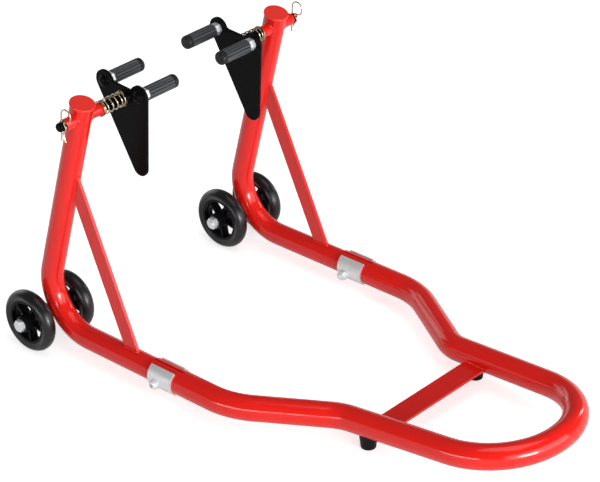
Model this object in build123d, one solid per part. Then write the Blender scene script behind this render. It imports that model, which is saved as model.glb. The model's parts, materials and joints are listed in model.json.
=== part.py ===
from build123d import *
import os
from math import atan2, cos, degrees, pi, radians, sin, sqrt, tan

# Front paddock stand: a bent-tube lifting frame on four wheels with a U-shaped handle, and at the
# top of each upright a sprung, free-turning fork plate with two ribbed pegs.
# Millimetres, +Z up, the handle reaches towards -Y, the stand's mid-plane is X = 0, the floor is
# Z = 0. Everything is laid out with the axle line at Y = 0 and moved once, at the end, so that the
# origin is under the middle of the overall box.
# Fixed pieces and pieces of the right-hand side are modelled; the left-hand side mirrors them.

# --- Driving dimensions -----------------------------------------------------------------------

# Tubes
HANDLE_OD = 38.0
HANDLE_WALL = 1.5
LEG_WALL = 2.0
SOCKET_GAP = 0.1                # radial, leg tube in the handle's socket
LEG_SPACING = 414.0             # between the two legs' centre lines
BEND_RADIUS = 75.0              # centre line of the bend between leg and upright
UPRIGHT_LEAN = 16.2             # degrees, towards the handle
UPRIGHT_TOE_IN = 0.86           # degrees, tops of the uprights lean towards each other
CAP_DIAMETER = 38.0
CAP_THICKNESS = 3.0

# Handle
SOCKET_START = 223.0            # from the axle to the handle's open ends
SOCKET_OVERLAP = 67.0           # how far each leg reaches into the handle
NECK_START = 373.0              # from the axle to the first corner of the handle
NECK_ANGLE = 31.7               # degrees, how steeply the handle narrows
NECK_LENGTH = 162.0             # between the first and second corners
NECK_RADIUS = 120.0
WAIST_RADIUS = 65.0
RAIL_ANGLE = 3.1                # degrees, how much the narrow rails still close in
RAIL_RISE = 0.087               # height gained per millimetre along the rails
LOOP_END = 798.0                # from the axle to the far end of the loop's centre line
LOOP_FLAT = 4.0                 # straight stretch in the middle of the loop's end

# Slit, saddles and clamp bolt at each socket
SLIT_WIDTH = 4.0
SLIT_LENGTH = 59.0
SADDLE_THICKNESS = 2.5
SADDLE_LENGTH = 46.0
SADDLE_SETBACK = 5.0            # from the handle's open end to the saddle
SADDLE_HALF_ANGLE = 60.0        # degrees, each way from level
SADDLE_GAP = 0.1
CLAMP_DIAMETER = 8.0
CLAMP_DROP = 7.0                # bolt below the tube's centre line
CLAMP_SETBACK = 13.0            # from the saddle's near edge to the bolt
CLAMP_HEAD_DIAMETER = 14.0
CLAMP_HEAD_HEIGHT = 4.5
CLAMP_NUT_FLATS = 13.0
CLAMP_NUT_HEIGHT = 6.5
SEAT_DIAMETER = 17.0            # flat seats pressed into the saddles
SEAT_PROUD = 0.8
BOLT_CLEARANCE = 0.2            # radial, bolts in plain holes
BOLT_END = 3.0                  # bolt end past its nut
HEX_CHAMFER = 0.04              # share of the flats turned off a hexagon's corners, along its axis

# Cross bar and feet
BAR_WIDTH = 36.0
BAR_THICKNESS = 4.0
BAR_TOP = 34.5
BAR_FROM_AXLE = 570.0
FOOT_FROM_AXLE = 557.0
FOOT_TOP_DIAMETER = 28.0
FOOT_BOTTOM_DIAMETER = 22.0
FOOT_TOP_HEIGHT = 27.0
FOOT_EDGE = 1.5

# Brace between leg and upright
BRACE_WIDTH = 25.0
BRACE_THICKNESS = 5.0
BRACE_TOP_HEIGHT = 306.0        # where the centre lines of brace and upright meet
BRACE_FROM_AXLE = 184.0         # where the centre lines of brace and leg meet

# Axle and wheels
WHEEL_DIAMETER = 98.0
TYRE_WIDTH = 23.0
RIM_DIAMETER = 70.0
RIM_WIDTH = 18.0
RIM_WALL = 4.0
HUB_DIAMETER = 26.0
HUB_LENGTH = 34.0
WEB_THICKNESS = 6.0
SPOKE_COUNT = 5
SPOKE_WIDTH = 11.0
SPOKE_TURN = 28.0               # degrees, first spoke from upright
SPOKE_RIB_WIDTH = 3.5
SPOKE_RIB_DEPTH = 14.0
WINDOW_CORNER = 3.0
WHEEL_OFFSET = 39.5             # each wheel's middle from the leg's plane
WHEEL_PLAY = 0.4                # side play at each end of a hub
AXLE_DIAMETER = 10.0
RUNNING_FIT = 0.08              # radial
AXLE_SLEEVE_OD = 24.0
AXLE_ANGLE = 34.7               # degrees below level, from the bend's centre to the axle
AXLE_WASHER_OD = 21.0
WASHER_THICKNESS = 1.5
AXLE_FLATS = 17.0
AXLE_HEAD_HEIGHT = 6.5
AXLE_NUT_HEIGHT = 8.0
WELD_BITE = 0.3                 # how far a coped piece is let into the tube that it is welded to

# Pivot sleeve, shaft and spring
SHAFT_HEIGHT = 400.0
SHAFT_FORWARD = 3.0             # shaft in front of the upright's centre line
TUBE_ABOVE_SHAFT = 21.0         # from the shaft up to the upright's end
SHAFT_DIAMETER = 14.0
SHAFT_DOME = 4.0
SHAFT_PAST_SLEEVE = 11.0
SLEEVE_WALL = 2.0
SLEEVE_LENGTH = 69.0
SPRING_OD = 23.5
SPRING_WIRE = 2.2
SPRING_COILS = 4                # open coils, between one closed coil at each end
SPRING_STEPS = 18               # straight lengths of wire in one coil
WIRE_SIDES = 8
SPRING_WASHER_OD = 24.0
PART_GAP = 0.3                  # between pieces that move past each other
CLIP_PLAY = 2.9                 # from the sleeve's end to the spring clip
CLIP_WIRE = 2.2
CLIP_REACH = 30.0               # top of the clip's loop above the shaft
CLIP_TAIL = 22.0                # clip's legs below the shaft
CLIP_LOOP_RADIUS = 9.0

# Fork plate and pegs
FORK_TURN = 4.0                 # degrees, how the plate hangs
PLATE_THICKNESS = 5.0
PLATE_EDGE = 0.7
PLATE_OUTER_FACE = 120.5        # from the mid-plane
EAR_SPACING = 70.0
EAR_RADIUS = 17.0
EAR_RISE = 13.4                 # ears' centres above the shaft
EAR_SHIFT = 3.0                 # ears' middle behind the shaft
TAIL_DROP = 114.0               # tail's centre below the ears' centres
TAIL_RADIUS = 14.5
DIP_DEPTH = 12.0                # dip between the ears
DIP_CORNER = 5.0
SHAFT_THROUGH = 1.0             # shaft end past the plate
PEG_DIAMETER = 10.0
PEG_HEAD_DIAMETER = 20.0
PEG_HEAD_HEIGHT = 6.0
PEG_NUT_FLATS = 17.0
PEG_NUT_HEIGHT = 11.0
GRIP_DIAMETER = 21.0
GRIP_LENGTH = 59.0
GRIP_END_WALL = 6.0
GRIP_END_RADIUS = 5.0
GRIP_GROOVES = 14
GRIP_GROOVE_RADIUS = 1.0

# --- Places worked out from them --------------------------------------------------------------

HANDLE_RADIUS = HANDLE_OD / 2
LEG_OD = HANDLE_OD - 2 * HANDLE_WALL - 2 * SOCKET_GAP
LEG_RADIUS = LEG_OD / 2
LEG_X = LEG_SPACING / 2
WHEEL_RADIUS = WHEEL_DIAMETER / 2

# The axle sleeve lies against the outside of the bend, and the wheels set the leg's height.
AXLE_TO_BEND = BEND_RADIUS + LEG_RADIUS + AXLE_SLEEVE_OD / 2 - WELD_BITE
BEND_Y = -AXLE_TO_BEND * cos(radians(AXLE_ANGLE))
LEG_Z = WHEEL_RADIUS + AXLE_TO_BEND * sin(radians(AXLE_ANGLE)) - BEND_RADIUS
LEG_END_Y = -(SOCKET_START + SOCKET_OVERLAP)
UPRIGHT_TOP = SHAFT_HEIGHT + TUBE_ABOVE_SHAFT

# Upright's centre line, in the side's own plane
LEAN = radians(UPRIGHT_LEAN)
BEND_TOP_Y = BEND_Y + BEND_RADIUS * cos(LEAN)
BEND_TOP_Z = LEG_Z + BEND_RADIUS * (1 + sin(LEAN))
CORNER_Y = BEND_Y + BEND_RADIUS * tan((radians(90) + LEAN) / 2)


def upright_y(height):
    """Y of the upright's centre line at a height above the bend."""
    return BEND_TOP_Y - (height - BEND_TOP_Z) * tan(LEAN)


SHAFT_Y = upright_y(SHAFT_HEIGHT) - SHAFT_FORWARD
SLEEVE_X = LEG_X - (SHAFT_HEIGHT - LEG_Z) * tan(radians(UPRIGHT_TOE_IN))
SLEEVE_OUTER = SLEEVE_X + SLEEVE_LENGTH / 2
SLEEVE_INNER = SLEEVE_X - SLEEVE_LENGTH / 2
SLEEVE_OD = SHAFT_DIAMETER + 2 * RUNNING_FIT + 2 * SLEEVE_WALL

# Handle's corners
WAIST_X = LEG_X - NECK_LENGTH * sin(radians(NECK_ANGLE))
WAIST_Y = -NECK_START - NECK_LENGTH * cos(radians(NECK_ANGLE))


def rail_point(from_axle):
    """A point on the right-hand rail's centre line."""
    run = from_axle + WAIST_Y
    return (WAIST_X - run * tan(radians(RAIL_ANGLE)), -from_axle, LEG_Z + run * RAIL_RISE)


LOOP_CORNER = rail_point(LOOP_END)
LOOP_RADIUS = (LOOP_CORNER[0] - LOOP_FLAT / 2) / tan(radians(90 - RAIL_ANGLE) / 2)

# Stack along the axle, from the leg's plane outwards
HUB_INNER = WHEEL_OFFSET - HUB_LENGTH / 2
HUB_OUTER = WHEEL_OFFSET + HUB_LENGTH / 2
AXLE_SLEEVE_HALF = HUB_INNER - WHEEL_PLAY - WASHER_THICKNESS
AXLE_GRIP = HUB_OUTER + WHEEL_PLAY + WASHER_THICKNESS

# Clamp bolt
SADDLE_START_Y = -(SOCKET_START + SADDLE_SETBACK)
CLAMP_Y = SADDLE_START_Y - CLAMP_SETBACK
CLAMP_Z = LEG_Z - CLAMP_DROP
SEAT_X = HANDLE_RADIUS + SADDLE_GAP + SADDLE_THICKNESS + SEAT_PROUD

# Fork stack along X
PLATE_INNER_FACE = PLATE_OUTER_FACE - PLATE_THICKNESS
THRUST_WASHER_INNER = PLATE_OUTER_FACE + PART_GAP
SPRING_INNER = THRUST_WASHER_INNER + WASHER_THICKNESS
SPRING_OUTER = SLEEVE_INNER - WASHER_THICKNESS
CLIP_X = SLEEVE_OUTER + CLIP_PLAY + CLIP_WIRE / 2
SHAFT_OUTER = SLEEVE_OUTER + SHAFT_PAST_SLEEVE
GRIP_START = PLATE_INNER_FACE - PEG_NUT_HEIGHT
GRIP_END = GRIP_START - GRIP_LENGTH

# The finished stand is centred over the origin.
CENTRE_Y = (WHEEL_RADIUS - LOOP_END - HANDLE_RADIUS) / 2


# --- Shapes used more than once -----------------------------------------------------------------

def bar_along_x(radius, start, end, y=0.0, z=0.0):
    """A round bar along X."""
    return Pos((start + end) / 2, y, z) * Rot(0, 90, 0) * Cylinder(radius, end - start)


def ring_along_x(outer, inner, start, end, y=0.0, z=0.0):
    """A washer, sleeve or collar along X."""
    return bar_along_x(outer, start, end, y, z) - bar_along_x(inner, start, end, y, z)


def hexagon_along_x(flats, start, end, y=0.0, z=0.0):
    """A hexagon across the given flats, its corners turned off at both ends."""
    prism = extrude(Plane.YZ * RegularPolygon(flats / 2, 6, major_radius=False), end - start)
    turned = bar_along_x(flats / sqrt(3), 0, end - start)
    depth = flats * HEX_CHAMFER
    turned = chamfer(turned.edges().filter_by(GeomType.CIRCLE), depth, depth * 2)
    return Pos(start, y, z) * (prism & turned)


def swept_bar(path, radius):
    """A solid round bar along a path."""
    return sweep(Plane(path @ 0, z_dir=path % 0) * Circle(radius), path=path)


def domed_head(radius, height, start, y=0.0, z=0.0):
    """A low round head that rises from start along +X."""
    dome = (radius ** 2 + height ** 2) / (2 * height)
    half_way = atan2(radius, dome - height) / 2
    crown = (height - dome + dome * cos(half_way), dome * sin(half_way))
    outline = Line((0, 0), (0, radius)) + ThreePointArc((0, radius), crown, (height, 0))
    outline += Line((height, 0), (0, 0))
    return Pos(start, y, z) * revolve(make_face(outline), Axis.X)


def in_side_plane(shape):
    """Takes a piece drawn about X = 0 to the right-hand leg and leans it in."""
    return Pos(LEG_X, 0, LEG_Z) * Rot(0, -UPRIGHT_TOE_IN, 0) * Pos(0, 0, -LEG_Z) * shape


def at_shaft(shape):
    """Takes a piece drawn about the shaft's axis to its place on the right-hand side."""
    return Pos(0, SHAFT_Y, SHAFT_HEIGHT) * Rot(FORK_TURN, 0, 0) * shape


# --- Frame --------------------------------------------------------------------------------------

def side_path():
    """Centre line of leg, bend and upright, in the plane X = 0."""
    return FilletPolyline(
        (0, LEG_END_Y, LEG_Z),
        (0, CORNER_Y, LEG_Z),
        (0, upright_y(UPRIGHT_TOP), UPRIGHT_TOP),
        radius=BEND_RADIUS,
    )


def side_outer():
    """The side tube's outer form, filled, in its place."""
    return in_side_plane(swept_bar(side_path(), LEG_RADIUS))


def side_tube():
    tube = side_outer() - in_side_plane(swept_bar(side_path(), LEG_RADIUS - LEG_WALL))
    tube -= pivot_bore(SLEEVE_OD / 2)
    return tube - clamp_hole()


def pivot_bore(radius):
    return bar_along_x(radius, SLEEVE_INNER, SLEEVE_OUTER, SHAFT_Y, SHAFT_HEIGHT)


def top_cap():
    path = side_path()
    seat = Plane(path @ 1, z_dir=path % 1)
    disc = extrude(seat * Circle(CAP_DIAMETER / 2), CAP_THICKNESS)
    top = disc.faces().sort_by(Axis.Z)[-1]
    return in_side_plane(fillet(top.edges(), CAP_THICKNESS / 3))


def pivot_sleeve():
    return pivot_bore(SLEEVE_OD / 2) - pivot_bore(SHAFT_DIAMETER / 2 + RUNNING_FIT)


def axle_sleeve():
    sleeve = ring_along_x(
        AXLE_SLEEVE_OD / 2,
        AXLE_DIAMETER / 2 + BOLT_CLEARANCE,
        LEG_X - AXLE_SLEEVE_HALF,
        LEG_X + AXLE_SLEEVE_HALF,
        0,
        WHEEL_RADIUS,
    )
    return sleeve - side_outer()


def brace():
    """A flat bar from leg to upright, its ends coped to both tubes."""
    low = Vector(0, -BRACE_FROM_AXLE, LEG_Z)
    high = Vector(0, upright_y(BRACE_TOP_HEIGHT), BRACE_TOP_HEIGHT)
    slope = degrees(atan2(high.Z - low.Z, high.Y - low.Y))
    bar = Box(BRACE_THICKNESS, (high - low).length, BRACE_WIDTH)
    bar = Pos(*((low + high) / 2)) * Rot(slope, 0, 0) * bar
    return in_side_plane(bar) - side_outer()


def handle_path():
    right = [
        (LEG_X, -SOCKET_START, LEG_Z),
        (LEG_X, -NECK_START, LEG_Z),
        (WAIST_X, WAIST_Y, LEG_Z),
        LOOP_CORNER,
    ]
    left = [(-x, y, z) for x, y, z in reversed(right)]
    radii = [NECK_RADIUS, WAIST_RADIUS, LOOP_RADIUS]
    return FilletPolyline(*right, *left, radius=radii + radii[::-1])


def handle_loop():
    path = handle_path()
    tube = swept_bar(path, HANDLE_RADIUS) - swept_bar(path, HANDLE_RADIUS - HANDLE_WALL)
    slit = Box(SLIT_WIDTH, SLIT_LENGTH, HANDLE_OD)
    slit = Pos(LEG_X, -SOCKET_START - SLIT_LENGTH / 2, LEG_Z + HANDLE_OD / 2) * slit
    for cutter in (slit, clamp_hole()):
        tube -= cutter
        tube -= mirror(cutter, about=Plane.YZ)
    return tube


def cross_bar():
    x = rail_point(BAR_FROM_AXLE)[0]
    bar = Box(2 * x, BAR_WIDTH, BAR_THICKNESS)
    bar = Pos(0, -BAR_FROM_AXLE, BAR_TOP - BAR_THICKNESS / 2) * bar
    return bar - swept_bar(handle_path(), HANDLE_RADIUS)


def rubber_foot():
    """A tapered bumper, hollowed at the top to sit under the rail."""
    x, y, _ = rail_point(FOOT_FROM_AXLE)
    top, bottom = FOOT_TOP_DIAMETER / 2, FOOT_BOTTOM_DIAMETER / 2
    outline = Polyline((0, 0), (bottom, 0), (top, FOOT_TOP_HEIGHT), (0, FOOT_TOP_HEIGHT), close=True)
    foot = revolve(Plane.XZ * make_face(outline), Axis.Z)
    foot = fillet(foot.edges().sort_by(Axis.Z)[0], FOOT_EDGE)
    return Pos(x, y, 0) * foot - swept_bar(handle_path(), HANDLE_RADIUS)


# --- Clamped joints -----------------------------------------------------------------------------

def clamp_hole():
    radius = CLAMP_DIAMETER / 2 + BOLT_CLEARANCE
    return bar_along_x(radius, LEG_X - SEAT_X, LEG_X + SEAT_X, CLAMP_Y, CLAMP_Z)


def saddle(direction):
    """A half-round clamp plate with a flat seat for the bolt, outside or inside of the tube."""
    inner = HANDLE_RADIUS + SADDLE_GAP
    outer = inner + SADDLE_THICKNESS
    reach = 2 * outer
    half = radians(SADDLE_HALF_ANGLE)
    wedge = Polygon((0, 0), (reach, -reach * tan(half)), (reach, reach * tan(half)), align=None)
    section = (Circle(outer) - Circle(inner)) & wedge
    near_edge = Plane((0, SADDLE_START_Y, 0), x_dir=(1, 0, 0), z_dir=(0, -1, 0))
    plate = extrude(near_edge * section, SADDLE_LENGTH)
    seat = bar_along_x(SEAT_DIAMETER / 2, 0, SEAT_X, CLAMP_Y, -CLAMP_DROP)
    tube = Rot(90, 0, 0) * Cylinder(inner, 2 * -LEG_END_Y)
    plate = plate + (seat - tube)
    if direction < 0:
        plate = mirror(plate, about=Plane.YZ)
    return Pos(LEG_X, 0, LEG_Z) * plate - clamp_hole()


def clamp_bolt():
    outer = LEG_X + SEAT_X
    end = LEG_X - SEAT_X - CLAMP_NUT_HEIGHT - BOLT_END
    shank = bar_along_x(CLAMP_DIAMETER / 2, end, outer, CLAMP_Y, CLAMP_Z)
    head = domed_head(CLAMP_HEAD_DIAMETER / 2, CLAMP_HEAD_HEIGHT, outer, CLAMP_Y, CLAMP_Z)
    return shank + head


def clamp_nut():
    seat = LEG_X - SEAT_X
    nut = hexagon_along_x(CLAMP_NUT_FLATS, seat - CLAMP_NUT_HEIGHT, seat, CLAMP_Y, CLAMP_Z)
    return nut - bar_along_x(CLAMP_DIAMETER / 2, seat - CLAMP_NUT_HEIGHT, seat, CLAMP_Y, CLAMP_Z)


# --- Axle and wheels ----------------------------------------------------------------------------

def axle_bolt():
    outer = LEG_X + AXLE_GRIP
    end = LEG_X - AXLE_GRIP - AXLE_NUT_HEIGHT - BOLT_END
    shank = bar_along_x(AXLE_DIAMETER / 2, end, outer, 0, WHEEL_RADIUS)
    return shank + hexagon_along_x(AXLE_FLATS, outer, outer + AXLE_HEAD_HEIGHT, 0, WHEEL_RADIUS)


def axle_nut():
    seat = LEG_X - AXLE_GRIP
    nut = hexagon_along_x(AXLE_FLATS, seat - AXLE_NUT_HEIGHT, seat, 0, WHEEL_RADIUS)
    return nut - bar_along_x(AXLE_DIAMETER / 2, seat - AXLE_NUT_HEIGHT, seat, 0, WHEEL_RADIUS)


def axle_washers():
    """Four plain washers: one against each end of the sleeve, one under the head, one under the nut."""
    washers = []
    for near in (AXLE_SLEEVE_HALF, AXLE_GRIP - WASHER_THICKNESS):
        for start in (LEG_X + near, LEG_X - near - WASHER_THICKNESS):
            washers.append(ring_along_x(
                AXLE_WASHER_OD / 2, AXLE_DIAMETER / 2, start, start + WASHER_THICKNESS, 0, WHEEL_RADIUS))
    return Compound(washers)


def tyre():
    """A solid tyre with a round tread, drawn about X through the wheel's middle."""
    shoulder = WHEEL_RADIUS - TYRE_WIDTH / 3
    seat, half = RIM_DIAMETER / 2, RIM_WIDTH / 2
    section = Line((-half, seat), (half, seat))
    section += Line((half, seat), (TYRE_WIDTH / 2, shoulder))
    section += ThreePointArc((TYRE_WIDTH / 2, shoulder), (0, WHEEL_RADIUS), (-TYRE_WIDTH / 2, shoulder))
    section += Line((-TYRE_WIDTH / 2, shoulder), (-half, seat))
    return revolve(make_face(section), Axis.X)


def wheel_hub():
    """A moulded hub: rim, web with rounded windows, ribbed spokes and a long boss."""
    rim_inner = RIM_DIAMETER / 2 - RIM_WALL
    boss = HUB_DIAMETER / 2
    rim = ring_along_x(RIM_DIAMETER / 2, rim_inner, -RIM_WIDTH / 2, RIM_WIDTH / 2)
    web = bar_along_x(rim_inner, -WEB_THICKNESS / 2, WEB_THICKNESS / 2)
    rib = Box(SPOKE_RIB_DEPTH, SPOKE_RIB_WIDTH, rim_inner - boss + 4)
    rib = Pos(0, 0, (rim_inner + boss) / 2 - 1) * rib
    inner_edge, outer_edge = boss + 1.5, rim_inner - 1.5
    opening = Circle(outer_edge) - Circle(inner_edge)
    pitch = 360 / SPOKE_COUNT
    for spoke in range(SPOKE_COUNT):
        bar = Pos(outer_edge / 2, 0) * Rectangle(outer_edge + 2, SPOKE_WIDTH)
        opening -= Rot(0, 0, 90 + SPOKE_TURN + spoke * pitch) * bar
    opening = fillet(opening.vertices(), WINDOW_CORNER)
    web -= extrude(Plane.YZ * opening, WEB_THICKNESS, both=True)
    hub = rim + web + bar_along_x(boss, -HUB_LENGTH / 2, HUB_LENGTH / 2)
    for spoke in range(SPOKE_COUNT):
        hub += Rot(SPOKE_TURN + spoke * pitch, 0, 0) * rib
    return hub - bar_along_x(AXLE_DIAMETER / 2 + RUNNING_FIT, -HUB_LENGTH, HUB_LENGTH)


# --- Fork: shaft, spring, clip, plate and pegs ----------------------------------------------------

def shaft():
    """Runs from the fork plate out through the sleeve; its outer end is rounded and cross-drilled."""
    rod = bar_along_x(SHAFT_DIAMETER / 2, PLATE_INNER_FACE - SHAFT_THROUGH, SHAFT_OUTER)
    rod = fillet(rod.edges().sort_by(Axis.X)[-1], SHAFT_DOME)
    return at_shaft(rod - Pos(CLIP_X, 0, 0) * Cylinder(CLIP_WIRE / 2 + PART_GAP, SHAFT_DIAMETER))


def spring_washer(start):
    """A flat washer round the shaft, from start outwards."""
    bore = SHAFT_DIAMETER / 2 + PART_GAP
    return at_shaft(ring_along_x(SPRING_WASHER_OD / 2, bore, start, start + WASHER_THICKNESS))


def spring():
    """A compression spring with closed end coils: eight-sided wire in short straight lengths."""
    mean = (SPRING_OD - SPRING_WIRE) / 2
    first, last = SPRING_INNER + SPRING_WIRE / 2, SPRING_OUTER - SPRING_WIRE / 2
    closed_rise = (SPRING_WIRE + PART_GAP / 3) / SPRING_STEPS
    open_rise = (last - first) / (SPRING_COILS * SPRING_STEPS) - 2 * closed_rise / SPRING_COILS
    closed = [closed_rise] * SPRING_STEPS
    rises = closed + [open_rise] * SPRING_COILS * SPRING_STEPS + closed
    rings = []
    x = first
    for step, rise in enumerate(rises + [closed_rise]):
        turn = 2 * pi * step / SPRING_STEPS
        climb = atan2(rise, 2 * pi * mean / SPRING_STEPS)
        middle = Vector(x, mean * cos(turn), mean * sin(turn))
        outward = Vector(0, cos(turn), sin(turn))
        across = Vector(cos(climb), sin(climb) * sin(turn), -sin(climb) * cos(turn))
        corners = [2 * pi * corner / WIRE_SIDES for corner in range(WIRE_SIDES)]
        rings.append([middle + (outward * cos(c) + across * sin(c)) * (SPRING_WIRE / 2) for c in corners])
        x += rise
    faces = [Face(Wire.make_polygon(ring)) for ring in (rings[0], rings[-1])]
    for near, far in zip(rings, rings[1:]):
        for corner in range(WIRE_SIDES):
            after = (corner + 1) % WIRE_SIDES
            faces.append(Face(Wire.make_polygon([near[corner], near[after], far[after]])))
            faces.append(Face(Wire.make_polygon([near[corner], far[after], far[corner]])))
    return at_shaft(Solid(Shell(faces)))


def spring_clip():
    """A wire R-clip: one leg through the shaft, the other sprung round its front."""
    hug = SHAFT_DIAMETER / 2 + CLIP_WIRE / 2
    width = 2 * CLIP_LOOP_RADIUS + 1
    low = hug + 1.5
    points = [(0, -CLIP_TAIL), (0, CLIP_REACH), (width, CLIP_REACH), (width, low), (2.8, low),
              (hug * 1.3, 0), (3.2, -low), (hug, -CLIP_TAIL)]
    radii = [CLIP_LOOP_RADIUS, CLIP_LOOP_RADIUS, CLIP_LOOP_RADIUS, 2.0, 5.0, 4.0]
    path = FilletPolyline(*[(CLIP_X, -forward, up) for forward, up in points], radius=radii)
    return at_shaft(swept_bar(path, CLIP_WIRE / 2))


def ear_centres():
    """Y and Z of the rear and front ears, about the shaft."""
    return [(EAR_SHIFT + side * EAR_SPACING / 2, EAR_RISE) for side in (1, -1)]


def fork_plate():
    """A tapering plate with two round ears, a dip between them and a long tail below."""
    rear, front = ear_centres()
    ears = [Pos(*centre) * Circle(EAR_RADIUS) for centre in (rear, front)]
    tail = Pos(front[0] - EAR_RADIUS + TAIL_RADIUS, EAR_RISE - TAIL_DROP) * Circle(TAIL_RADIUS)
    outline = make_hull([edge for disc in (*ears, tail) for edge in disc.edges()])
    dip_floor = EAR_RISE + EAR_RADIUS - DIP_DEPTH
    dip = Pos(EAR_SHIFT, dip_floor + EAR_RADIUS / 2) * Rectangle(EAR_SPACING, EAR_RADIUS)
    outline = outline - dip + ears[0] + ears[1]
    floor = [v for v in outline.vertices() if abs(v.Y - dip_floor) < 0.01]
    inner = [v for v in floor if abs(v.X - EAR_SHIFT) < EAR_SPACING / 2]
    outline = fillet(inner, DIP_CORNER)
    plate = Pos(PLATE_INNER_FACE, 0, 0) * extrude(Plane.YZ * outline, PLATE_THICKNESS)
    plate = chamfer(plate.edges().filter_by(Plane.YZ), PLATE_EDGE)
    plate -= bar_along_x(SHAFT_DIAMETER / 2, PLATE_INNER_FACE, PLATE_OUTER_FACE)
    for y, z in (rear, front):
        plate -= bar_along_x(PEG_DIAMETER / 2, PLATE_INNER_FACE, PLATE_OUTER_FACE, y, z)
    return at_shaft(plate)


def peg_bolt(y, z):
    """A round-headed stud through an ear; its long end carries the grip."""
    stud = bar_along_x(PEG_DIAMETER / 2, GRIP_END + GRIP_END_WALL, PLATE_OUTER_FACE, y, z)
    head = domed_head(PEG_HEAD_DIAMETER / 2, PEG_HEAD_HEIGHT, PLATE_OUTER_FACE, y, z)
    return at_shaft(stud + head)


def peg_nut(y, z):
    nut = hexagon_along_x(PEG_NUT_FLATS, GRIP_START, PLATE_INNER_FACE, y, z)
    return at_shaft(nut - bar_along_x(PEG_DIAMETER / 2, GRIP_START, PLATE_INNER_FACE, y, z))


def peg_grip(y, z):
    """A ribbed rubber sleeve, closed and rounded at its free end."""
    radius = GRIP_DIAMETER / 2
    section = Circle(radius)
    for groove in range(GRIP_GROOVES):
        section -= Rot(0, 0, 360 * groove / GRIP_GROOVES) * Pos(radius, 0) * Circle(GRIP_GROOVE_RADIUS)
    ribbed = Pos(GRIP_END, 0, 0) * extrude(Plane.YZ * section, GRIP_LENGTH)
    plug = bar_along_x(radius, GRIP_END, GRIP_START)
    plug = fillet(plug.edges().sort_by(Axis.X)[0], GRIP_END_RADIUS)
    grip = ribbed & plug
    grip -= bar_along_x(PEG_DIAMETER / 2, GRIP_END + GRIP_END_WALL, GRIP_START)
    return at_shaft(Pos(0, y, z) * grip)


# --- The whole stand ------------------------------------------------------------------------------

def right_hand_pieces():
    """Every piece of the right-hand side, by name."""
    pieces = {
        "side_tube": side_tube(),
        "top_cap": top_cap(),
        "pivot_sleeve": pivot_sleeve(),
        "axle_sleeve": axle_sleeve(),
        "brace": brace(),
        "rubber_foot": rubber_foot(),
        "outer_saddle": saddle(1),
        "inner_saddle": saddle(-1),
        "clamp_bolt": clamp_bolt(),
        "clamp_nut": clamp_nut(),
        "axle_bolt": axle_bolt(),
        "axle_nut": axle_nut(),
        "axle_washers": axle_washers(),
        "shaft": shaft(),
        "sleeve_washer": spring_washer(SPRING_OUTER),
        "thrust_washer": spring_washer(THRUST_WASHER_INNER),
        "spring": spring(),
        "spring_clip": spring_clip(),
        "fork_plate": fork_plate(),
    }
    for place, offset in (("outer", WHEEL_OFFSET), ("inner", -WHEEL_OFFSET)):
        middle = Pos(LEG_X + offset, 0, WHEEL_RADIUS)
        pieces[place + "_tyre"] = middle * tyre()
        pieces[place + "_wheel_hub"] = middle * wheel_hub()
    for place, (y, z) in zip(("rear", "front"), ear_centres()):
        pieces[place + "_peg_bolt"] = peg_bolt(y, z)
        pieces[place + "_peg_nut"] = peg_nut(y, z)
        pieces[place + "_peg_grip"] = peg_grip(y, z)
    return pieces


def build():
    nodes = {"handle_loop": handle_loop(), "cross_bar": cross_bar()}
    for name, piece in right_hand_pieces().items():
        nodes["right_" + name] = piece
        nodes["left_" + name] = mirror(piece, about=Plane.YZ)
    os.makedirs("parts", exist_ok=True)
    for name, piece in nodes.items():
        placed = Pos(0, -CENTRE_Y, 0) * piece
        export_step(placed, f"parts/{name}.step")


build()
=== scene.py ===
# %% [markdown]
# # Dressing a front paddock stand
# The stand lifts the front of a motorcycle: two uprights on paired wheels, a long handle, and at the top
# of each upright a sprung plate with two ribbed pegs that the fork legs rest on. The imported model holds
# every solid already, so this lesson adds what a welder, a paint line and a moulding press leave on it:
# beads, threads, springs with closed ends, ribbed rubber and the finishes.

# %% Load the frame
import bpy
import bmesh
import json
from math import atan2, cos, pi, radians, sin, sqrt, tan
from mathutils import Matrix, Vector


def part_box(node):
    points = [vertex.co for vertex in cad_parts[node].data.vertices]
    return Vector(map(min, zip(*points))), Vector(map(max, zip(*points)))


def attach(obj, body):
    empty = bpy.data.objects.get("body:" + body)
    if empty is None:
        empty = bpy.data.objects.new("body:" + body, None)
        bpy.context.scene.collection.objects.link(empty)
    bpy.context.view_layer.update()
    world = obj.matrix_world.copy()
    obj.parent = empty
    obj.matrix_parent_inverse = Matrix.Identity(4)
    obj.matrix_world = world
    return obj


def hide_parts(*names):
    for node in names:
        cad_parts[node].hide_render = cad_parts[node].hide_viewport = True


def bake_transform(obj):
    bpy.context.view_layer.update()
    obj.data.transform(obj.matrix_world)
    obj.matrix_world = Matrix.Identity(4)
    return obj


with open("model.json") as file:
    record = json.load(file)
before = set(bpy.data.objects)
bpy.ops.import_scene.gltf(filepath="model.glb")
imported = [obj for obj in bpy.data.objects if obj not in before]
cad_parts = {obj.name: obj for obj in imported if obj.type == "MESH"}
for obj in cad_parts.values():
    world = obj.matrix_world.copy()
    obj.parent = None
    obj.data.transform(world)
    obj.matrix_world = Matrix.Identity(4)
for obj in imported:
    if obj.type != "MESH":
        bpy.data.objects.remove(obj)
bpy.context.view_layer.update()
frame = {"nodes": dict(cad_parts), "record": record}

# %% [markdown]
# ## Camera
# The stand is looked at from its front left, from above, through a long lens, which keeps the two sides
# nearly parallel. A camera could be aimed with a Track To constraint, but that leaves no room for a roll.
# So the turn is written as three simple ones: round the vertical, down, and a small roll.

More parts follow.
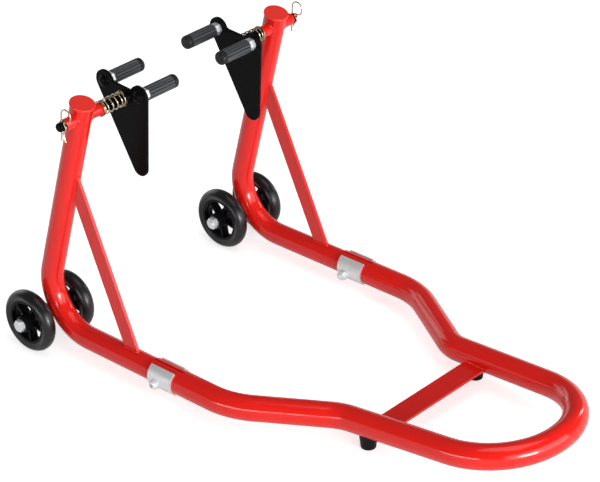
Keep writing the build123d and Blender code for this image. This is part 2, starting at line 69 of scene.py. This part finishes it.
# %% Camera
CAMERA_PLACE = Vector((-2.3422, -2.1258, 1.9919))
CAMERA_LENS = 151.86
YAW, PITCH, ROLL = radians(-46.98), radians(-29.28), radians(-1.447)

camera_data = bpy.data.cameras.new("studio_camera")
camera_data.lens = CAMERA_LENS
camera_data.sensor_width = 36.0
camera_data.clip_end = 60.0
camera = bpy.data.objects.new("studio_camera", camera_data)
bpy.context.scene.collection.objects.link(camera)
turn = Matrix.Rotation(YAW, 4, "Z") @ Matrix.Rotation(pi / 2 + PITCH, 4, "X") @ Matrix.Rotation(ROLL, 4, "Z")
camera.matrix_world = Matrix.Translation(CAMERA_PLACE) @ turn
bpy.context.scene.camera = camera
bpy.context.scene.view_settings.view_transform = "Standard"
print("camera at", tuple(camera.location), "lens", camera_data.lens)

# %% [markdown]
# ## Floor
# A studio sweep is a plain pale surface that runs out of sight. A curved backdrop would do, but one large
# flat sheet is simpler and has no edge in the view. Its colour is close to white, and it has a little light
# of its own that only the camera and reflections see. Reflections get less of that light, so that the
# glossy paint keeps its depth. The sheet still darkens where the stand shades it, so the stand stays on
# the ground.

# %% Floor
FLOOR_SIZE = 40.0
FLOOR_COLOUR = 0.86
FLOOR_LIFT = 0.60
MIRRORED_LIFT = 0.35


def join_numbers(tree, operation, first, second):
    """A Math node on two outputs, or on an output and a plain number."""
    node = tree.nodes.new("ShaderNodeMath")
    node.operation = operation
    tree.links.new(first, node.inputs[0])
    if isinstance(second, float):
        node.inputs[1].default_value = second
    else:
        tree.links.new(second, node.inputs[1])
    return node.outputs[0]


bpy.ops.object.select_all(action="DESELECT")
bpy.ops.mesh.primitive_plane_add(size=FLOOR_SIZE, location=(0, 0, 0))
floor = bpy.context.object
floor.name = "studio_floor"
floor_paint = bpy.data.materials.new("floor_paper")
floor_paint.use_nodes = True
tree = floor_paint.node_tree
paper = tree.nodes["Principled BSDF"]
paper.inputs["Base Color"].default_value = (FLOOR_COLOUR, FLOOR_COLOUR, FLOOR_COLOUR, 1)
paper.inputs["Roughness"].default_value = 0.9
paper.inputs["Specular IOR Level"].default_value = 0.0
rays = tree.nodes.new("ShaderNodeLightPath").outputs
mirrored = join_numbers(tree, "MAXIMUM", rays["Is Glossy Ray"], rays["Is Transmission Ray"])
mirrored = join_numbers(tree, "MULTIPLY", mirrored, MIRRORED_LIFT)
seen = join_numbers(tree, "MAXIMUM", rays["Is Camera Ray"], mirrored)
glow = tree.nodes.new("ShaderNodeEmission")
tree.links.new(join_numbers(tree, "MULTIPLY", seen, FLOOR_LIFT), glow.inputs["Strength"])
both = tree.nodes.new("ShaderNodeAddShader")
tree.links.new(paper.outputs[0], both.inputs[0])
tree.links.new(glow.outputs[0], both.inputs[1])
tree.links.new(both.outputs[0], tree.nodes["Material Output"].inputs["Surface"])
floor.data.materials.append(floor_paint)
print("floor", FLOOR_SIZE, "m across")

# %% [markdown]
# ## World
# The world is the room. For the camera and for reflections it is white low down and dark higher up, so the
# tubes show a bright band and a dark one with a crisp line between them. As light it is soft, even and
# weaker. A picture of a room would do this too, but a height and two strengths need no image file.

# %% World
ROOM_LIGHT = 0.26
CEILING = 0.16
WHITE_BELOW, DARK_ABOVE = radians(9), radians(14)

world = bpy.data.worlds.new("studio_room")
bpy.context.scene.world = world
world.use_nodes = True
tree = world.node_tree
room = tree.nodes["Background"]
room.inputs["Color"].default_value = (1, 1, 1, 1)
rays = tree.nodes.new("ShaderNodeLightPath").outputs
seen = join_numbers(tree, "MAXIMUM", rays["Is Camera Ray"], rays["Is Glossy Ray"])
seen = join_numbers(tree, "MAXIMUM", seen, rays["Is Transmission Ray"])
place = tree.nodes.new("ShaderNodeTexCoord")
split = tree.nodes.new("ShaderNodeSeparateXYZ")
tree.links.new(place.outputs["Generated"], split.inputs[0])
wall = tree.nodes.new("ShaderNodeMapRange")
wall.inputs["From Min"].default_value = sin(WHITE_BELOW)
wall.inputs["From Max"].default_value = sin(DARK_ABOVE)
wall.inputs["To Min"].default_value = 1.0
wall.inputs["To Max"].default_value = CEILING
tree.links.new(split.outputs["Z"], wall.inputs["Value"])
level = tree.nodes.new("ShaderNodeMapRange")
level.inputs["To Min"].default_value = ROOM_LIGHT
tree.links.new(seen, level.inputs["Value"])
tree.links.new(wall.outputs["Result"], level.inputs["To Max"])
tree.links.new(level.outputs["Result"], room.inputs["Strength"])
print("room", ROOM_LIGHT, "as light,", CEILING, "at the ceiling")

# %% [markdown]
# ## Lamps
# The lamps are soft boxes: a lit sheet in a frame. Each is placed by the way it stands from the stand, in
# degrees round it and up, and by how bright its sheet is, so its mark on the paint stays as bright when
# the lamp is moved or resized. The broad one, on the camera's right, does most of the work. The small and
# narrow ones draw the white marks that show how glossy the paint is.

# %% Lamps
LAMP_AIM = Vector((0, 0, 0.1))


def soft_box(name, azimuth, elevation, distance, width, height, brightness):
    """A rectangular lamp that faces the stand; its brightness is that of its sheet, 1 for white paper."""
    data = bpy.data.lights.new(name, "AREA")
    data.shape = "RECTANGLE"
    data.size, data.size_y = width, height
    data.energy = brightness * pi * width * height
    lamp = bpy.data.objects.new(name, data)
    bpy.context.scene.collection.objects.link(lamp)
    flat = cos(radians(elevation))
    way = Vector((flat * cos(radians(azimuth)), flat * sin(radians(azimuth)), sin(radians(elevation))))
    facing = way.to_track_quat("Z", "Y").to_matrix().to_4x4()
    lamp.matrix_world = Matrix.Translation(LAMP_AIM + way * distance) @ facing
    lamp.visible_camera = False


soft_box("broad_box", azimuth=-88, elevation=16, distance=3.4, width=5.2, height=1.9, brightness=2.8)
soft_box("small_box", azimuth=-102, elevation=9, distance=3.0, width=1.05, height=0.66, brightness=25)
soft_box("left_strip", azimuth=182, elevation=9, distance=3.0, width=2.4, height=0.18, brightness=15)
soft_box("right_strip", azimuth=-8, elevation=18, distance=3.0, width=0.22, height=0.6, brightness=14)
soft_box("rear_box", azimuth=82, elevation=20, distance=3.2, width=2.0, height=1.5, brightness=1.5)
soft_box("overhead_box", azimuth=-70, elevation=80, distance=2.8, width=1.8, height=1.8, brightness=1.7)

# %% [markdown]
# ## Finishes
# Every finish starts from the same recipe: a colour that drifts a little over the surface, a roughness
# that drifts too, and a fine bump. Painted maps could do the same, but patterns that read object
# coordinates are the same size on every piece and need no unwrapping.

# %% A recipe for a finish
ROUGH_FINER = 2.3
COLOUR_DETAIL, ROUGH_DETAIL, GRAIN_DETAIL = 4.0, 3.0, 2.0


def noise(tree, scale, detail):
    """A noise pattern in metres: scale is how many blotches fit in one metre."""
    place = tree.nodes.new("ShaderNodeTexCoord")
    pattern = tree.nodes.new("ShaderNodeTexNoise")
    pattern.inputs["Scale"].default_value = scale
    pattern.inputs["Detail"].default_value = detail
    tree.links.new(place.outputs["Object"], pattern.inputs["Vector"])
    return pattern.outputs["Fac"]


def finish(name, dark, light, drift, rough, grain, bump, metal=0.0, specular=0.5):
    """A material: two colours and two roughnesses that it drifts between, and a bump (depth, strength)."""
    made = bpy.data.materials.new(name)
    made.use_nodes = True
    tree = made.node_tree
    surface = tree.nodes["Principled BSDF"]
    surface.inputs["Metallic"].default_value = metal
    surface.inputs["Specular IOR Level"].default_value = specular
    colour = tree.nodes.new("ShaderNodeMix")
    colour.data_type = "RGBA"
    colour.inputs["A"].default_value = (*dark, 1)
    colour.inputs["B"].default_value = (*light, 1)
    tree.links.new(noise(tree, drift, COLOUR_DETAIL), colour.inputs["Factor"])
    tree.links.new(colour.outputs["Result"], surface.inputs["Base Color"])
    roughness = tree.nodes.new("ShaderNodeMapRange")
    roughness.inputs["To Min"].default_value, roughness.inputs["To Max"].default_value = rough
    tree.links.new(noise(tree, drift * ROUGH_FINER, ROUGH_DETAIL), roughness.inputs["Value"])
    tree.links.new(roughness.outputs["Result"], surface.inputs["Roughness"])
    relief = tree.nodes.new("ShaderNodeBump")
    relief.inputs["Distance"].default_value, relief.inputs["Strength"].default_value = bump
    tree.links.new(noise(tree, grain, GRAIN_DETAIL), relief.inputs["Height"])
    tree.links.new(relief.outputs["Normal"], surface.inputs["Normal"])
    return made


print("a finish is colour, roughness and bump")

# %% [markdown]
# The red is a powder coat: baked plastic about a tenth of a millimetre thick, glossy, with the faint
# orange-peel of powder that flowed together. The plate is sprayed in a thinner satin black. Zinc plate is
# a cold, slightly cloudy grey, and the spring and clip are passivated yellow. The wheels are moulded nylon
# with a solid rubber tyre, and the pegs wear soft rubber. The blacks are written very dark, because the
# white surroundings lift them.

# %% The stand's finishes
coats = {
    "red_paint": finish(
        "red_powder_coat", (0.64, 0.007, 0.004), (0.72, 0.012, 0.007), drift=9, rough=(0.12, 0.17),
        grain=620, bump=(0.0004, 0.06), specular=0.46),
    "black_paint": finish(
        "satin_black_paint", (0.002, 0.002, 0.0022), (0.004, 0.004, 0.0045), drift=30, rough=(0.22, 0.32),
        grain=900, bump=(0.0004, 0.08), specular=0.05),
    "zinc": finish(
        "bright_zinc_plate", (0.64, 0.67, 0.68), (0.86, 0.88, 0.89), drift=150, rough=(0.30, 0.46),
        grain=1400, bump=(0.0003, 0.12), metal=0.55),
    "yellow_zinc": finish(
        "yellow_zinc_plate", (0.34, 0.26, 0.15), (0.78, 0.70, 0.55), drift=260, rough=(0.16, 0.28),
        grain=1600, bump=(0.0002, 0.10), metal=1.0),
    # Paler than the plain grip ends: painted sheen for the light that the ribs catch.
    "rubber": finish(
        "peg_rubber_painted_sheen", (0.034, 0.038, 0.042), (0.056, 0.062, 0.068), drift=120, rough=(0.34, 0.46),
        grain=1800, bump=(0.0003, 0.22), specular=0.42),
    "tyre": finish(
        "solid_tyre_rubber", (0.004, 0.004, 0.005), (0.008, 0.008, 0.010), drift=70, rough=(0.24, 0.34),
        grain=1500, bump=(0.0003, 0.16), specular=0.42),
    "hub_plastic": finish(
        "moulded_hub_nylon", (0.003, 0.003, 0.004), (0.005, 0.005, 0.007), drift=60, rough=(0.28, 0.38),
        grain=1200, bump=(0.0003, 0.12), specular=0.10),
}
print("finishes", sorted(coats))

# %% [markdown]
# A few pieces differ from the rest of their kind. The caps get a slightly paler red than the frame, as
# painted light for the light that falls on their tops. The feet and the plain ends of the grips are a
# darker rubber than the ribs, whose paler rubber is painted sheen, and the axle washers are plated in
# dark zinc. Each gets a finish of its own by its node's name.

# %% Finishes of a few pieces
# The caps' paler red is painted light: it stands in for the light that falls on their tops.
cap_painted_light = finish(
    "cap_red_painted_light", (0.78, 0.026, 0.016), (0.86, 0.034, 0.022), drift=12, rough=(0.26, 0.34),
    grain=620, bump=(0.0003, 0.05), specular=0.50)
grip_end_rubber = finish(
    "smooth_grip_rubber", (0.008, 0.009, 0.010), (0.013, 0.014, 0.016), drift=120, rough=(0.34, 0.46),
    grain=1800, bump=(0.0003, 0.18), specular=0.22)
dark_zinc = finish(
    "dark_zinc_plate", (0.010, 0.010, 0.011), (0.022, 0.022, 0.024), drift=160, rough=(0.34, 0.46),
    grain=1400, bump=(0.0003, 0.10), metal=0.3)
foot_rubber = finish(
    "hard_foot_rubber", (0.003, 0.003, 0.0035), (0.007, 0.007, 0.008), drift=90, rough=(0.36, 0.48),
    grain=1500, bump=(0.0003, 0.18), specular=0.12)
own_coats = {"rubber_foot": foot_rubber, "top_cap": cap_painted_light, "axle_washers": dark_zinc}

for entry in frame["record"]["subparts"]:
    node = entry["node"]
    piece = node.split("_", 1)[1]
    shown = frame["nodes"][node]
    shown.data.materials.clear()
    shown.data.materials.append(own_coats.get(piece, coats[entry["material_slot"]]))

# %% [markdown]
# ## Places
# New pieces need to know where the solids are. The nodes' boxes give that, so nothing is measured twice.

# %% Places read from the nodes
SIDES = (("right", 1), ("left", -1))


def middle(node):
    low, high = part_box(node)
    return (low + high) / 2


def size(node):
    low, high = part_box(node)
    return high - low


print("right sleeve", middle("right_pivot_sleeve"), size("right_pivot_sleeve"))

# %% [markdown]
# ## Weld beads
# The frame is welded from tubes and flat bar. A bead is a row of small overlapping puddles. It could be
# sculpted, but a round line along the seam, whose thickness rises and falls, gives even puddles and
# follows any seam. A seam between two tubes isn't flat: each of its points is found by sliding along one
# tube until it meets the other's skin.

# %% A bead along a seam
RIPPLE = 0.0016
PUDDLE_THIN, PUDDLE_SWELL = 0.86, 0.22


def bead(name, points, thickness, closed):
    """A rippled weld bead along the points, painted over with the frame's red."""
    bpy.ops.object.select_all(action="DESELECT")
    line = bpy.data.curves.new(name, "CURVE")
    line.dimensions = "3D"
    line.bevel_depth = thickness / 2
    line.bevel_resolution = 3
    line.use_fill_caps = True
    spline = line.splines.new("POLY")
    spline.points.add(len(points) - 1)
    spline.use_cyclic_u = closed
    run = 0.0
    for i, point in enumerate(points):
        run += (point - points[i - 1]).length if i else 0.0
        spline.points[i].co = (*point, 1)
        spline.points[i].radius = PUDDLE_THIN + PUDDLE_SWELL * abs(sin(pi * run / RIPPLE / 2))
    made = bpy.data.objects.new(name, line)
    bpy.context.scene.collection.objects.link(made)
    made.select_set(True)
    bpy.context.view_layer.objects.active = made
    bpy.ops.object.convert(target="MESH")
    made = bpy.context.object
    bpy.ops.object.shade_smooth()
    made.data.materials.append(coats["red_paint"])
    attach(made, "frame")


def meet(start, along, tube_place, tube_way, tube_radius, far):
    """Where a line from start meets a round tube's skin, on its near or far side."""
    off = start - tube_place
    a = along - tube_way * along.dot(tube_way)
    b = off - tube_way * off.dot(tube_way)
    half = a.dot(b) / a.dot(a)
    reach = half * half - (b.dot(b) - tube_radius ** 2) / a.dot(a)
    root = sqrt(max(reach, 0.0))
    return start + along * (-half + (root if far else -root))


print("a bead ripples every", RIPPLE * 1000, "mm")

# %% [markdown]
# On each side the pivot sleeve crosses the upright, so it has a bead on both faces. The upright leans back
# towards the handle, and its top leans in a little.

# %% Beads round the pivot sleeves
UPRIGHT_LEAN, TOE_IN = radians(16.2), radians(0.86)
LEG_RADIUS = 0.0174
SLEEVE_BEAD, SLEEVE_STEPS = 0.0032, 96


def upright_way(sign):
    flat = cos(UPRIGHT_LEAN)
    return Vector((-sign * sin(TOE_IN) * flat, -sin(UPRIGHT_LEAN), cos(TOE_IN) * flat))


for side, sign in SIDES:
    sleeve = middle(f"{side}_pivot_sleeve")
    sleeve_radius = size(f"{side}_pivot_sleeve").z / 2
    top = middle(f"{side}_top_cap")
    for face, far in (("outer", sign > 0), ("inner", sign < 0)):
        seam = []
        for step in range(SLEEVE_STEPS):
            angle = 2 * pi * step / SLEEVE_STEPS
            start = sleeve + Vector((0, cos(angle), sin(angle))) * sleeve_radius
            seam.append(meet(start, Vector((1, 0, 0)), top, upright_way(sign), LEG_RADIUS, far))
        bead(f"{side}_{face}_sleeve_weld", seam, SLEEVE_BEAD, closed=True)
print("four beads round the pivot sleeves")

# %% [markdown]
# A brace is a flat bar set on edge between leg and upright. Its bead goes round all four sides of the bar
# at both ends. The bar's outline is walked in small steps, and each step slides along the bar to the tube.

# %% Beads at the braces
BRACE_WIDTH, BRACE_THICKNESS = 0.025, 0.005
BRACE_HEIGHT = 0.306
BRACE_FOOT_Y = 0.200
BRACE_BEAD, SEAM_STEP = 0.0034, 0.0004
LEG_WAY = Vector((0, 1, 0))


def bar_outline(width, thickness):
    """Points round a flat bar's section."""
    half_w, half_t = width / 2, thickness / 2
    corners = [(half_w, half_t), (-half_w, half_t), (-half_w, -half_t), (half_w, -half_t)]
    points = []
    for i, (w, t) in enumerate(corners):
        next_w, next_t = corners[(i + 1) % 4]
        count = round((abs(next_w - w) + abs(next_t - t)) / SEAM_STEP)
        points += [(w + (next_w - w) * k / count, t + (next_t - t) * k / count) for k in range(count)]
    return points


for side, sign in SIDES:
    top = middle(f"{side}_top_cap")
    way = upright_way(sign)
    head = top + way * ((BRACE_HEIGHT - top.z) / way.z)
    leg_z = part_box(f"{side}_side_tube")[0].z + LEG_RADIUS
    foot = Vector((middle(f"{side}_axle_sleeve").x, BRACE_FOOT_Y, leg_z))
    along = (head - foot).normalized()
    across = along.cross(Vector((1, 0, 0))).normalized()
    flat = across.cross(along).normalized()
    for end, place, tube_way, far in (("upper", head, way, False), ("lower", foot, LEG_WAY, True)):
        seam = []
        for w, t in bar_outline(BRACE_WIDTH, BRACE_THICKNESS):
            start = place + across * w + flat * t
            seam.append(meet(start, along, place, tube_way, LEG_RADIUS, far))
        bead(f"{side}_{end}_brace_weld", seam, BRACE_BEAD, closed=True)
print("four beads round the ends of the braces")

# %% [markdown]
# The cross bar sits between the rails and is welded along its upper and lower edges. The rails close in
# and climb slowly, so both are followed along the bar's width.

# %% Beads at the cross bar
HANDLE_RADIUS = 0.019
RAIL_X, RAIL_Z = 0.1187, 0.0384
RAIL_CLOSE, RAIL_RISE = tan(radians(3.1)), 0.087
BAR_BEAD, BAR_STEPS, BEAD_LIFT = 0.0036, 90, 0.0004

bar_low, bar_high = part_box("cross_bar")
bar_middle = middle("cross_bar")
for side, sign in SIDES:
    for edge, height in (("upper", bar_high.z + BEAD_LIFT), ("lower", bar_low.z - BEAD_LIFT)):
        seam = []
        for step in range(BAR_STEPS + 1):
            y = bar_low.y + (bar_high.y - bar_low.y) * step / BAR_STEPS
            rail_x = RAIL_X + (y - bar_middle.y) * RAIL_CLOSE
            rail_z = RAIL_Z - (y - bar_middle.y) * RAIL_RISE
            inside = sqrt(HANDLE_RADIUS ** 2 - (height - rail_z) ** 2)
            seam.append(Vector((sign * (rail_x - inside), y, height)))
        bead(f"{side}_{edge}_bar_weld", seam, BAR_BEAD, closed=False)
print("four beads at the cross bar")

# %% [markdown]
# ## Tools for new pieces
# The pieces that follow are modelled as by hand: a primitive is added at its place, shaped in edit mode
# and finished with modifiers. An operator acts on all that is selected, so each step starts with nothing
# selected, and points, edges or faces are then chosen by where they are.

# %% Tools for new pieces
def start_piece(add_primitive, **values):
    """Adds a primitive and puts its place, turn and scale into its mesh."""
    bpy.ops.object.select_all(action="DESELECT")
    add_primitive(**values)
    bpy.ops.object.transform_apply(location=True, rotation=True, scale=True)
    return bpy.context.object


def choose(piece, kind, test):
    """Selects the points, edges or faces whose middles pass a test."""
    bpy.ops.mesh.select_mode(type=kind)
    bpy.ops.mesh.select_all(action="DESELECT")
    mesh = bmesh.from_edit_mesh(piece.data)
    parts = {"VERT": mesh.verts, "EDGE": mesh.edges, "FACE": mesh.faces}[kind]
    for part in parts:
        corners = [part] if kind == "VERT" else part.verts
        part.select_set(test(sum((corner.co for corner in corners), Vector()) / len(corners)))
    mesh.select_flush_mode()
    bmesh.update_edit_mesh(piece.data)


def wind(piece, axis, turns, pitch, steps):
    """Carries an outline round an axis and along it, then closes both ends."""
    screw = piece.modifiers.new("turns", "SCREW")
    screw.axis = axis
    screw.angle = 2 * pi
    screw.iterations = turns
    screw.screw_offset = pitch
    screw.steps = screw.render_steps = steps
    bpy.ops.object.modifier_apply(modifier="turns")
    bpy.ops.object.mode_set(mode="EDIT")
    bpy.ops.mesh.select_all(action="DESELECT")
    bpy.ops.mesh.select_non_manifold()
    bpy.ops.mesh.fill()
    bpy.ops.mesh.select_all(action="SELECT")
    bpy.ops.mesh.normals_make_consistent(inside=False)
    bpy.ops.object.mode_set(mode="OBJECT")


def own_copy(first, name):
    """A copy with a mesh of its own."""
    made = first.copy()
    made.data = first.data.copy()
    made.name = name
    bpy.context.scene.collection.objects.link(made)
    return made


def lay_along_x(piece, start, sign):
    """Turns a piece drawn along +Z so that it runs along X from start, outwards for the side."""
    piece.data.transform(Matrix.Translation(start) @ Matrix.Rotation(sign * pi / 2, 4, "Y"))


print("tools: start_piece, choose, wind, own_copy, lay_along_x")

# %% [markdown]
# ## Springs
# Each spring is one steel wire with a closed coil at each end, which pushes the plate away from the
# sleeve. A curve with a round section would do, but its mesh can twist. Here a small circle is carried round
# the shaft's axis by the Screw modifier, which keeps it square to the wire. Screw has one pitch only, so
# the points are then slid along the axis: the coils at the ends are pressed together and the ones between
# are opened. Both springs are wound the same way.

# %% One spring
WIRE, WIRE_SIDES = 0.0022, 12
SPRING_TURNS, SPRING_OPEN = 6, 4
TURN_STEPS = 40
CLOSED_PITCH = WIRE * 1.05

spring_size = size("right_spring")
wound_length = spring_size.x - WIRE
open_pitch = (wound_length - 2 * CLOSED_PITCH) / SPRING_OPEN
first_spring = start_piece(
    bpy.ops.mesh.primitive_circle_add, vertices=WIRE_SIDES, radius=WIRE / 2, fill_type="NOTHING",
    location=(0, (spring_size.z - WIRE) / 2, 0))
wind(first_spring, "X", SPRING_TURNS, wound_length / SPRING_TURNS, TURN_STEPS)
for point in first_spring.data.vertices:
    part_turn = atan2(point.co.z, point.co.y) / (2 * pi)
    turns = round(point.co.x / wound_length * SPRING_TURNS - part_turn) + part_turn
    opened = min(max(turns - 1, 0), SPRING_OPEN)
    closed = min(turns, 1) + max(turns - 1 - SPRING_OPEN, 0)
    even_place = turns * wound_length / SPRING_TURNS
    point.co.x += WIRE / 2 + closed * CLOSED_PITCH + opened * open_pitch - even_place
bpy.ops.object.shade_smooth_by_angle(angle=radians(40))
first_spring.data.materials.append(coats["yellow_zinc"])
print("a spring has", SPRING_TURNS, "turns,", len(first_spring.data.polygons), "faces")

# %% Springs in place
for side, sign in SIDES:
    low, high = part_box(f"{side}_spring")
    centre = (low + high) / 2
    spring = own_copy(first_spring, f"{side}_coil_spring")
    spring.data.transform(Matrix.Translation((low.x, centre.y, centre.z)))
    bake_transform(spring)
    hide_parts(f"{side}_spring")
bpy.data.objects.remove(first_spring)
print("two springs between sleeve and plate")

# %% [markdown]
# ## Clamp bolts
# Each socket is pinched by a round-headed bolt with a cross recess. The head is a short cylinder whose rim
# is bevelled into a dome, and two thin blocks cut the recess, as a punch does. A thread could be a bump in
# the finish, but its outline shows where the bolt comes out of its nut. So it is a small triangle that
# climbs by one pitch for each turn.

# %% Head, shank and thread
HEAD_RADIUS, HEAD_HEIGHT = 0.007, 0.0045
RECESS_DEPTH, RECESS_SPAN, RECESS_SLOT = 0.0022, 0.0075, 0.0015
SHANK_RADIUS, SHANK_RELIEF = 0.004, 0.0004
THREAD_PITCH, THREAD_LENGTH = 0.00125, 0.009
THREAD_TOOTH, THREAD_FLATTER, THREAD_SINK = THREAD_PITCH * 0.45, 0.6, 0.0006


def domed_head():
    """A domed head with a cross recess, drawn along +Z from its seat."""
    head = start_piece(bpy.ops.mesh.primitive_cylinder_add, vertices=48, radius=HEAD_RADIUS,
                       depth=HEAD_HEIGHT, location=(0, 0, HEAD_HEIGHT / 2))
    bpy.ops.object.mode_set(mode="EDIT")
    choose(head, "EDGE", lambda spot: spot.z > HEAD_HEIGHT * 0.9)
    bpy.ops.mesh.bevel(offset=HEAD_HEIGHT * 0.86, segments=8, profile=0.5, affect="EDGES")
    bpy.ops.object.mode_set(mode="OBJECT")
    for turned in (0, pi / 2):
        punch = start_piece(bpy.ops.mesh.primitive_cube_add, size=1, location=(0, 0, HEAD_HEIGHT),
                            rotation=(0, 0, turned), scale=(RECESS_SPAN, RECESS_SLOT, 2 * RECESS_DEPTH))
        bpy.context.view_layer.objects.active = head
        cut = head.modifiers.new("recess", "BOOLEAN")
        cut.operation = "DIFFERENCE"
        cut.solver = "EXACT"
        cut.object = punch
        bpy.ops.object.modifier_apply(modifier="recess")
        bpy.data.objects.remove(punch)
    return head


def thread_from(low):
    """A thread drawn along +Z from low: its tooth points outwards and is a little flattened."""
    tooth = start_piece(bpy.ops.mesh.primitive_circle_add, vertices=3, radius=THREAD_TOOTH,
                        fill_type="NOTHING", location=(SHANK_RADIUS - THREAD_SINK, 0, low),
                        rotation=(pi / 2, pi / 2, 0), scale=(1, THREAD_FLATTER, 1))
    wind(tooth, "Z", round(THREAD_LENGTH / THREAD_PITCH), THREAD_PITCH, 28)
    return tooth


print("a thread of", THREAD_PITCH * 1000, "mm pitch")

# %% Clamp bolts in place
shank_length = size("right_clamp_bolt").x - HEAD_HEIGHT
head = domed_head()
shank = start_piece(bpy.ops.mesh.primitive_cylinder_add, vertices=40, radius=SHANK_RADIUS - SHANK_RELIEF,
                    depth=shank_length, location=(0, 0, -shank_length / 2))
thread = thread_from(THREAD_SINK - shank_length)
for piece in (head, shank, thread):
    piece.select_set(True)
bpy.context.view_layer.objects.active = head
bpy.ops.object.join()
first_bolt = bpy.context.object
bpy.ops.object.shade_smooth_by_angle(angle=radians(35))
first_bolt.data.materials.append(coats["zinc"])
for side, sign in SIDES:
    low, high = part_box(f"{side}_clamp_bolt")
    outer_end = high.x if sign > 0 else low.x
    bolt = own_copy(first_bolt, f"{side}_clamp_screw")
    seat = Vector((outer_end - sign * HEAD_HEIGHT, (low.y + high.y) / 2, (low.z + high.z) / 2))
    lay_along_x(bolt, seat, sign)
    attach(bolt, "frame")
    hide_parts(f"{side}_clamp_bolt")
bpy.data.objects.remove(first_bolt)
print("two clamp bolts,", len(bolt.data.polygons), "faces each")

# %% [markdown]
# ## Peg grips
# Each peg wears a moulded rubber sleeve: fine ribs along it, a plain rounded cap at the free end and a
# bore for the stud. The grooves could be cut by a row of blocks, but that leaves a ragged mesh. Here the
# cylinder starts with eight edges to a rib. The end is inset and pushed in for the bore, the rim is
# bevelled round, and every eighth line of points is drawn in towards the axis and its neighbours half as
# far. The ribs are painted paler than the plain end: painted sheen for the light that the ribs catch.

# %% One grip
GRIP_RIBS, RIB_POINTS = 13, 8
GRIP_BORE, GRIP_PLUG = 0.005, 0.006
PLAIN_CAP, RIB_RAMP, CAP_ROUND = 0.0085, 0.0012, 0.0042
GROOVE_DRAW, SHOULDER_DRAW = 0.80, 0.90
SKIN, NEAR = 0.9, 1e-5


def ribbed_grip(radius, length):
    """A grip drawn along +Z from its free end."""
    grip = start_piece(bpy.ops.mesh.primitive_cylinder_add, vertices=GRIP_RIBS * RIB_POINTS,
                       radius=radius, depth=length, location=(0, 0, length / 2))
    bpy.ops.object.mode_set(mode="EDIT")
    for height in (PLAIN_CAP, PLAIN_CAP + RIB_RAMP):
        bpy.ops.mesh.select_all(action="SELECT")
        bpy.ops.mesh.bisect(plane_co=(0, 0, height), plane_no=(0, 0, 1))
    choose(grip, "FACE", lambda spot: spot.z > length - NEAR)
    bpy.ops.mesh.inset(thickness=radius - GRIP_BORE)
    bpy.ops.mesh.extrude_region_move(TRANSFORM_OT_translate={"value": (0, 0, GRIP_PLUG - length)})
    choose(grip, "EDGE", lambda spot: spot.z < NEAR and spot.xy.length > radius * SKIN)
    bpy.ops.mesh.bevel(offset=CAP_ROUND, segments=5, profile=0.5, affect="EDGES")

    def on_line(spot, lines):
        line = round(atan2(spot.x, spot.y) / (2 * pi) * GRIP_RIBS * RIB_POINTS) % RIB_POINTS
        return line in lines and spot.z > PLAIN_CAP + RIB_RAMP / 2 and spot.xy.length > radius * SKIN

    for lines, draw in (((0,), GROOVE_DRAW), ((1, RIB_POINTS - 1), SHOULDER_DRAW)):
        choose(grip, "VERT", lambda spot: on_line(spot, lines))
        bpy.ops.transform.resize(value=(draw, draw, 1), center_override=(0, 0, 0))
    bpy.ops.mesh.select_all(action="SELECT")
    bpy.ops.mesh.normals_make_consistent(inside=False)
    # The ribs get the paler rubber, which is painted sheen, and the plain end gets the darker rubber.
    grip.data.materials.append(coats["rubber"])
    grip.data.materials.append(grip_end_rubber)
    choose(grip, "FACE", lambda spot: spot.z < PLAIN_CAP + RIB_RAMP)
    grip.active_material_index = 1
    bpy.ops.object.material_slot_assign()
    bpy.ops.object.mode_set(mode="OBJECT")
    bpy.ops.object.shade_smooth_by_angle(angle=radians(32))
    return grip


grip_size = size("right_front_peg_grip")
first_grip = ribbed_grip(grip_size.z / 2, grip_size.x)
print("a grip has", GRIP_RIBS, "ribs,", len(first_grip.data.polygons), "faces")

# %% Grips in place
for side, sign in SIDES:
    for place in ("front", "rear"):
        low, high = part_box(f"{side}_{place}_peg_grip")
        free_x = low.x if sign > 0 else high.x
        grip = own_copy(first_grip, f"{side}_{place}_ribbed_grip")
        lay_along_x(grip, Vector((free_x, (low.y + high.y) / 2, (low.z + high.z) / 2)), sign)
        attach(grip, f"{side}_fork")
        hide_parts(f"{side}_{place}_peg_grip")
bpy.data.objects.remove(first_grip)
print("four grips on their pegs")
